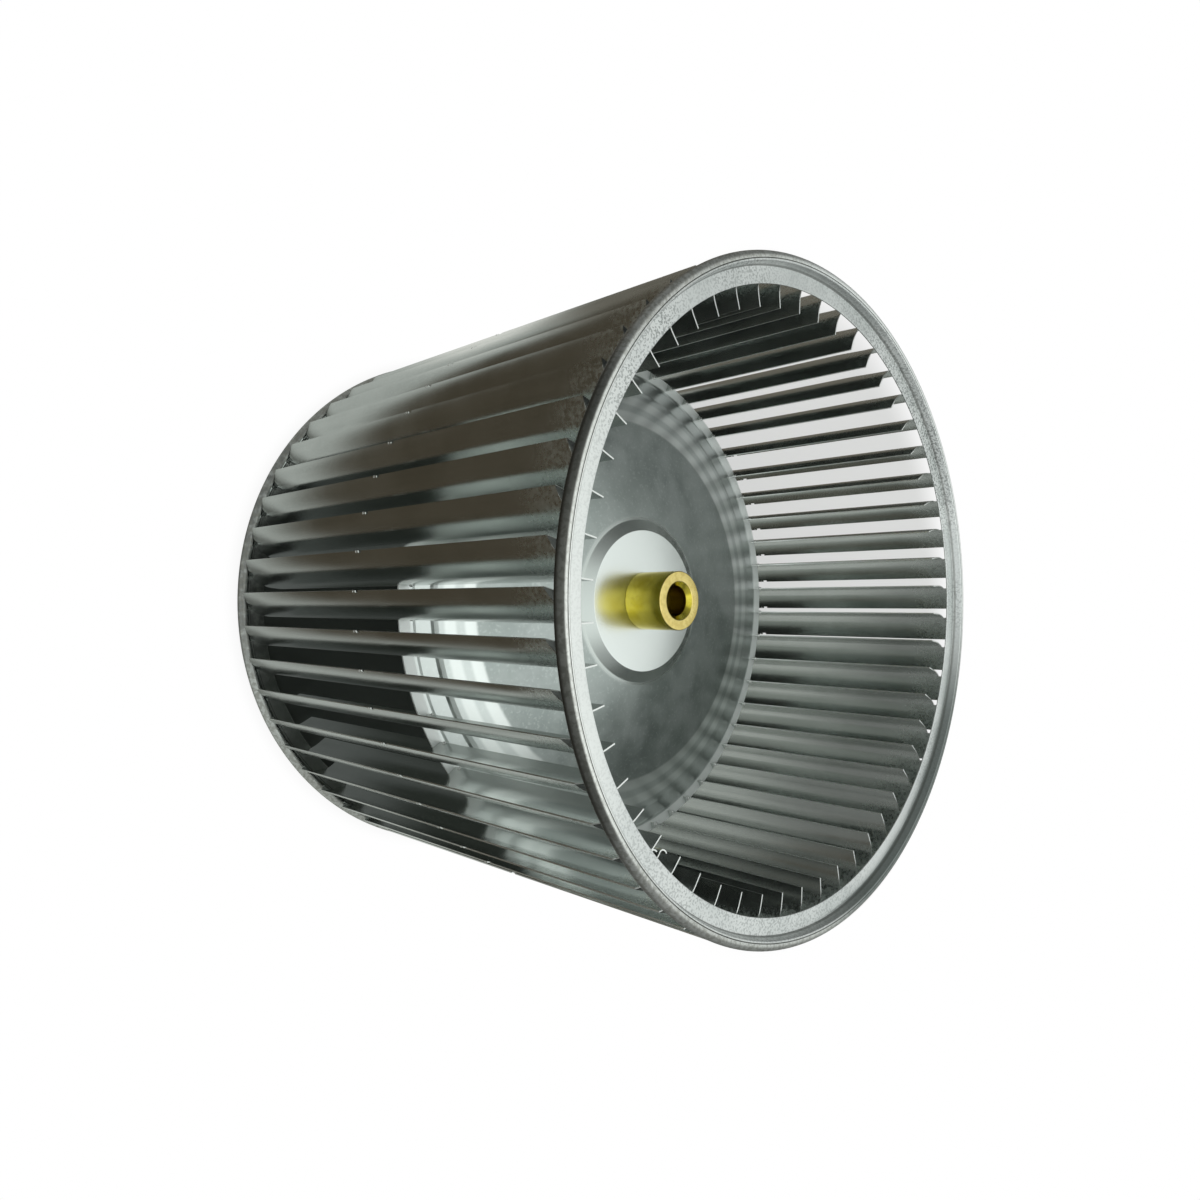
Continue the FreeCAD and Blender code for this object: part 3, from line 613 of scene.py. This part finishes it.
def ring_finish():
    """End rings: bright zinc with dark pinholes, denser in some stretches, painted shade in the bead's root
    and a dark line along its hem. The near ring is painted whiter at -Y as a painted highlight. Its bead
    has a painted highlight towards +Y and -X and a pale painted highlight line along its crest; towards
    -Y and +X it is pitted and has painted shade in place of the highlight, and it has painted shade on
    its outer side at -Y and on its inner wall at +X and +Y. The far ring is painted darker as shade,
    lighter towards +X as painted light, and has painted glints."""
    material, tree, shader, where = new_finish("galvanised_ring", 1.0)
    grain = grain_at(tree, where, 1150.0, 0.6, 34.0)
    x, y, z = split(tree, where)
    near, far = ease(tree, z, 0.10, 0.12), ease(tree, z, 0.12, 0.10)
    # front and right mark the near ring's sides at -Y and +X, where the bead gets painted shade and more pits;
    # bright marks the other sides, where it gets a painted highlight.
    front, right = ease(tree, y, 0.03, -0.03), ease(tree, x, 0.0, 0.06)
    shade_and_pit_side = arithmetic(tree, "MAXIMUM", front, right)
    bright = arithmetic(tree, "SUBTRACT", 1.0, shade_and_pit_side)
    away = ease(tree, y, -0.118, -0.085)

    flange = hoop_mask(tree, where, 0.1188, 0.0036)
    root = hoop_mask(tree, where, 0.12215, 0.00022)
    wall = hoop_mask(tree, where, 0.1235, 0.0019, 0.1, 0.5)
    hem = hoop_mask(tree, where, 0.12393, 0.00016)
    crown = hoop_mask(tree, where, 0.1247, 0.0009)
    bead = hoop_mask(tree, where, 0.1262, 0.0023)
    outside = hoop_mask(tree, where, 0.1280, 0.0027, 0.05, 0.75)

    worn = times(tree, away, ease(tree, noise(tree, where, 11.0, 2.0), 0.34, 0.58))
    dense = times(tree, plus(tree, 0.08, worn, 0.65), ease(tree, flange, 0.0, 1.0, 0.8, 1.0),
                  ease(tree, x, -0.02, 0.06, 1.0, 0.5))
    pitted = times(tree, bead, ease(tree, noise(tree, where, 620.0, 3.0), 0.46, 0.58),
                   ease(tree, shade_and_pit_side, 0.0, 1.0, 0.3, 1.0))
    far_glints = times(tree, far, ease(tree, noise(tree, where, 300.0, 4.0), 0.42, 0.72))
    root_shade_and_hem_line = arithmetic(tree, "MAXIMUM", times(tree, root, 0.5), times(tree, hem, 0.8))

    colour = tint(tree, (0.68, 0.70, 0.69, 1), (0.82, 0.83, 0.82, 1), grain["Clouds"])
    # The near ring is painted whiter at -Y, where away is 0: a painted highlight.
    colour = tint(tree, (0.93, 0.94, 0.92, 1), colour, arithmetic(tree, "MAXIMUM", away, far))
    colour = tint(tree, colour, (0.17, 0.185, 0.18, 1), grain["Flecks"], dense)
    # The far ring is painted darker as shade, and lighter towards +X as painted light.
    colour = tint(tree, colour, (0.22, 0.225, 0.215, 1), far)
    colour = tint(tree, colour, (0.62, 0.64, 0.61, 1), far, right, 0.8)
    # Painted shade on the bead towards -Y and +X, then a painted highlight on it towards +Y and -X.
    colour = tint(tree, colour, (0.52, 0.515, 0.48, 1), bead, shade_and_pit_side, ease(tree, away, 0.0, 1.0, 0.0, 0.5))
    colour = tint(tree, colour, (0.97, 0.98, 0.97, 1), bead, bright, near)
    # Painted glints on the far ring.
    colour = tint(tree, colour, (0.62, 0.64, 0.61, 1), far_glints, 0.5)
    colour = tint(tree, colour, (0.30, 0.295, 0.26, 1), pitted, 0.5)
    # A pale painted highlight line along the bead's crest, strongest at -Y.
    colour = tint(tree, colour, (0.90, 0.90, 0.86, 1), crown, near, ease(tree, away, 0.0, 1.0, 0.7, 0.1))
    # Painted shade on the bead's outer side at -Y.
    colour = tint(tree, colour, (0.06, 0.06, 0.052, 1), outside, near, front,
                  ease(tree, away, 0.0, 1.0, 0.95, 0.4))
    # Painted shade on the bead's inner wall at +X and +Y.
    colour = tint(tree, colour, (0.17, 0.195, 0.185, 1), wall, right, ease(tree, y, 0.0, 0.04, 0.0, 0.85))
    # Painted shade in the bead's root crease, and a dark line along the hem's seam.
    colour = tint(tree, colour, (0.10, 0.10, 0.09, 1), root_shade_and_hem_line)
    rough = plus(tree, plus(tree, 0.29, grain["Clouds"], 0.10), grain["Flecks"], 0.10)
    rough = tint_value(tree, rough, 0.46, bead, ease(tree, away, 0.0, 1.0, 0.55, 1.0))
    set_surface(tree, shader, colour, plus(tree, rough, pitted, 0.12), grain["Height"], 0.10, 0.0002)
    return material


def plate_finish():
    """Centre plate: mottled grey-green zinc, a clean pale pad under the hub with a smoother skirt round
    it, two rubbed rings, a lighter pressed zone by the edge, and a dull pale rim, partly bloomed zinc and
    partly painted light, less metallic there."""
    material, tree, shader, where = new_finish("galvanised_plate", 1.0)
    grain = grain_at(tree, where, 700.0, 0.2, 48.0)
    broad = ease(tree, noise(tree, where, 16.0, 4.0), 0.36, 0.64)
    pad = hoop_mask(tree, where, 0.0, PAD_RADIUS * MM, 0.49, 0.51)
    skirt = hoop_mask(tree, where, 0.0, 0.0375, 0.45, 0.55)
    rubbed = arithmetic(tree, "MAXIMUM", hoop_mask(tree, where, 0.0844, 0.0024),
                        hoop_mask(tree, where, 0.0927, 0.0023))
    pressed = hoop_mask(tree, where, 0.1005, 0.0150, 0.0, 0.5)
    rim = hoop_mask(tree, where, 0.1112, 0.0032, 0.05, 0.5)
    colour = tint(tree, (0.26, 0.29, 0.28, 1), (0.42, 0.45, 0.44, 1), grain["Clouds"])
    colour = tint(tree, colour, (0.46, 0.50, 0.48, 1), broad, 0.5)
    colour = tint(tree, colour, (0.60, 0.64, 0.62, 1), grain["Flecks"], 0.3)
    colour = tint(tree, colour, (0.50, 0.53, 0.51, 1), skirt)
    colour = tint(tree, colour, (0.80, 0.83, 0.81, 1), pad)
    colour = tint(tree, colour, (0.95, 0.97, 0.95, 1), rubbed, 0.6)
    colour = tint(tree, colour, (0.84, 0.88, 0.86, 1), pressed, 0.5)
    # The rim: pale bloomed zinc, painted lighter and made less metallic, further down, as painted light.
    colour = tint(tree, colour, (0.84, 0.87, 0.85, 1), rim)
    rough = plus(tree, 0.36, grain["Clouds"], 0.08)
    for share, level in ((rubbed, 0.29), (skirt, 0.26), (pressed, 0.33), (pad, 0.25)):
        rough = tint_value(tree, rough, level, share)
    feed(tree, shader.inputs["Metallic"], arithmetic(tree, "SUBTRACT", 1.0, times(tree, rim, 0.75)))
    set_surface(tree, shader, colour, rough, grain["Height"], 0.06, 0.0002)
    return material


def hub_finish():
    """Hub: yellow zinc plating over turned steel, faintly clouded. Its face is a redder gold with darker
    mottling, and its bore is darkened as painted shade."""
    material, tree, shader, where = new_finish("yellow_plated_hub", 1.0)
    grain = grain_at(tree, where, 900.0, 0.3, 130.0)
    face = ease(tree, split(tree, where)["Z"], HUB_FACE * MM - 0.0003, HUB_FACE * MM - 0.0001)
    mottle = ease(tree, noise(tree, where, 420.0, 4.0), 0.40, 0.62)
    bore = arithmetic(tree, "GREATER_THAN", hoop_mask(tree, where, 0.0, 0.0065), 0.5)
    colour = tint(tree, (0.66, 0.53, 0.035, 1), (0.82, 0.69, 0.10, 1), grain["Clouds"])
    colour = tint(tree, colour, (0.55, 0.42, 0.10, 1), grain["Flecks"], 0.25)
    colour = tint(tree, colour, (0.80, 0.64, 0.24, 1), face)
    colour = tint(tree, colour, (0.60, 0.45, 0.13, 1), face, mottle, 0.5)
    # Painted shade in the bore.
    colour = tint(tree, colour, (0.34, 0.25, 0.04, 1), bore)
    set_surface(tree, shader, colour, plus(tree, 0.13, grain["Clouds"], 0.06), grain["Height"], 0.04, 0.0001)
    return material


def screw_finish():
    """Set screw: black oxide, worn a little."""
    material, tree, shader, where = new_finish("black_oxide_screw", 1.0)
    grain = grain_at(tree, where, 1800.0, 0.3, 300.0)
    colour = tint(tree, (0.06, 0.06, 0.058, 1), (0.13, 0.13, 0.125, 1), grain["Clouds"])
    set_surface(tree, shader, colour, plus(tree, 0.38, grain["Flecks"], 0.12), grain["Height"], 0.08, 0.0001)
    return material


strip_metal, ring_metal, plate_metal = strip_finish(), ring_finish(), plate_finish()
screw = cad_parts["set_screw"]
for piece, material in ((blades, strip_metal), (stakes, strip_metal), (hook, strip_metal),
                        (bands, strip_metal), (near_ring, ring_metal), (far_ring, ring_metal),
                        (plate, plate_metal), (hub, hub_finish()), (screw, screw_finish())):
    piece.data.materials.clear()
    piece.data.materials.append(material)


# Floor, light and camera.

FLOOR_HALF = 6
floor_corners = [(FLOOR_HALF * x, FLOOR_HALF * y, 0) for x, y in ((-1, -1), (1, -1), (1, 1), (-1, 1))]
floor_mesh = bpy.data.meshes.new("floor")
floor_mesh.from_pydata(floor_corners, [], [(0, 1, 2, 3)])
floor = bpy.data.objects.new("floor", floor_mesh)
bpy.context.scene.collection.objects.link(floor)


def oval(tree, x, y, middle, reach, start, end):
    """1 inside an oval on the floor, 0 outside, with its fall between start and end of the reach."""
    across = arithmetic(tree, "DIVIDE", arithmetic(tree, "SUBTRACT", x, middle[0]), reach[0])
    along = arithmetic(tree, "DIVIDE", arithmetic(tree, "SUBTRACT", y, middle[1]), reach[1])
    square = plus(tree, times(tree, across, across), along, along)
    return ease(tree, arithmetic(tree, "SQRT", square), end, start)


def disc(tree, x, y, radius, start, end):
    """The same for a circle round the wheel's axis."""
    return oval(tree, x, y, (0.0, 0.0), (radius, radius), start, end)


def mix_shaders(tree, share, first, second):
    """The first shader turning into the second."""
    return make_node(tree, "ShaderNodeMixShader", {0: share, 1: first, 2: second}).outputs[0]


def glow(tree, kind, colour, strength):
    """A surface or a background that gives off light by itself."""
    return make_node(tree, kind, {"Color": colour, "Strength": strength}).outputs[0]


def floor_finish():
    """A pale floor that keeps the wheel's shadow and turns to plain white away from it; under the wheel it
    is painted dark as shade. Metal sees it as a soft grey sweep with a bright oval at -X, darker in front
    of the wheel, far off to the sides and the back, with a painted shadow round the wheel's foot, and
    darkest under the wheel as painted shade."""
    material, tree, shader, where = new_finish("floor_pale", 0.0)
    x, y, _ = split(tree, where)
    inside_bead = 0.121
    under = disc(tree, x, y, inside_bead, 0.97, 1.0)
    # Under the wheel the floor is painted dark as shade.
    feed(tree, shader.inputs["Base Color"], tint(tree, (0.84, 0.81, 0.81, 1), (0.10, 0.11, 0.10, 1), under))
    shader.inputs["Roughness"].default_value = 0.9
    shader.inputs["Specular IOR Level"].default_value = 0.0

    behind = oval(tree, x, y, (0.0, 0.33), (0.27, 0.26), 0.78, 1.04)
    beside = disc(tree, x, y, 0.127, 0.98, 1.05)
    beside = arithmetic(tree, "MAXIMUM", times(tree, beside, 0.12), under)
    shaded = arithmetic(tree, "MAXIMUM", times(tree, behind, 0.8), beside)
    white = glow(tree, "ShaderNodeEmission", (1, 1, 1, 1), 1.0)
    seen = mix_shaders(tree, shaded, white, shader.outputs[0])

    front = times(tree, ease(tree, y, -0.125, -0.155), ease(tree, y, -0.75, -0.40))
    bright = oval(tree, x, y, (-0.20, -0.03), (0.08, 0.095), 0.2, 1.0)
    corner = times(tree, ease(tree, y, 0.05, 0.14), ease(tree, x, -0.04, -0.14))
    left = arithmetic(tree, "MAXIMUM", corner, ease(tree, x, -0.215, -0.29))
    deep = oval(tree, x, y, (-0.01, 0.0), (inside_bead, inside_bead), 0.60, 0.92)
    sweep = tint(tree, (0.53, 0.56, 0.53, 1), (0.24, 0.25, 0.24, 1), ease(tree, x, 0.24, 0.36))
    sweep = tint(tree, sweep, (1.0, 1.0, 0.95, 1), bright)
    sweep = tint(tree, sweep, (0.19, 0.175, 0.145, 1), left)
    sweep = tint(tree, sweep, (0.20, 0.21, 0.20, 1), ease(tree, y, 0.35, 0.6))
    sweep = tint(tree, sweep, (0.080, 0.067, 0.047, 1), front)
    # Painted shadow round the wheel's foot and painted shade under the wheel, as metal sees the floor.
    sweep = tint(tree, sweep, (0.10, 0.10, 0.09, 1), disc(tree, x, y, 0.132, 0.95, 1.0))
    sweep = tint(tree, sweep, (0.12, 0.13, 0.125, 1), under)
    sweep = tint(tree, sweep, (0.03, 0.035, 0.03, 1), deep)
    reflected = glow(tree, "ShaderNodeEmission", sweep, 1.0)

    path = tree.nodes.new("ShaderNodeLightPath").outputs
    other = mix_shaders(tree, path["Is Glossy Ray"], shader.outputs[0], reflected)
    final = mix_shaders(tree, path["Is Camera Ray"], other, seen)
    feed(tree, tree.nodes["Material Output"].inputs["Surface"], final)
    return material


floor_mesh.materials.append(floor_finish())


def studio_light():
    """A soft studio: pale low down, greyer at a third of the way up, brightest overhead. It is stronger
    towards +X, and dimmed aside and low down at the back and right. The camera sees plain white."""
    world = bpy.data.worlds.new("studio")
    world.use_nodes = True
    tree = world.node_tree
    ray = tree.nodes.new("ShaderNodeTexCoord").outputs["Generated"]
    x, y, z = split(tree, ray)
    ramp_node = make_node(tree, "ShaderNodeValToRGB", {0: z})
    ramp = ramp_node.color_ramp
    levels = [(0.0, 0.66), (0.2, 0.62), (0.38, 0.40), (0.5, 0.45), (0.68, 0.75), (0.85, 0.88), (1.0, 1.0)]
    while len(ramp.elements) < len(levels):
        ramp.elements.new(0.5)
    for element, (place, level) in zip(ramp.elements, levels):
        element.position = place
        element.color = (0.95 * level, level, 0.98 * level, 1)
    sky = tint(tree, ramp_node.outputs["Color"], (0.66, 0.69, 0.68, 1), ease(tree, y, -0.3, -0.9))
    strength = plus(tree, plus(tree, 1.3, x, 0.5), ease(tree, z, 0.84, 0.98, 0.0, 0.05))
    aside = times(tree, ease(tree, arithmetic(tree, "ABSOLUTE", x), 0.36, 0.62), ease(tree, z, 0.2, 0.4))
    beyond = arithmetic(tree, "MAXIMUM", ease(tree, y, 0.5, 0.8), ease(tree, x, 0.5, 0.9))
    beyond = times(tree, beyond, ease(tree, z, 0.3, 0.1))
    dimmed = times(tree, arithmetic(tree, "MAXIMUM", aside, beyond), 0.6)
    strength = times(tree, strength, arithmetic(tree, "SUBTRACT", 1.0, dimmed))
    light = glow(tree, "ShaderNodeBackground", sky, strength)
    white = glow(tree, "ShaderNodeBackground", (1, 1, 1, 1), 1.0)
    path = tree.nodes.new("ShaderNodeLightPath").outputs
    final = mix_shaders(tree, path["Is Camera Ray"], light, white)
    feed(tree, tree.nodes["World Output"].inputs["Surface"], final)
    return world


bpy.context.scene.world = studio_light()

# The camera's three axes and its place, fitted to the wheel's outlines.
right, up, back = (0.00225, 0.71965, 0.69434), (-0.999995, 0.00026, 0.00297), (0.00196, -0.69434, 0.71964)
place = (0.000363, -0.292364, 0.408240)
camera_data = bpy.data.cameras.new("camera")
camera_data.lens = 27.158
camera_data.sensor_width = 36.0
camera = bpy.data.objects.new("camera", camera_data)
bpy.context.scene.collection.objects.link(camera)
bpy.context.scene.camera = camera
camera.matrix_world = Matrix([*zip(right, up, back, place), (0, 0, 0, 1)])

bpy.context.scene.view_settings.view_transform = "Standard"

bpy.context.view_layer.update()
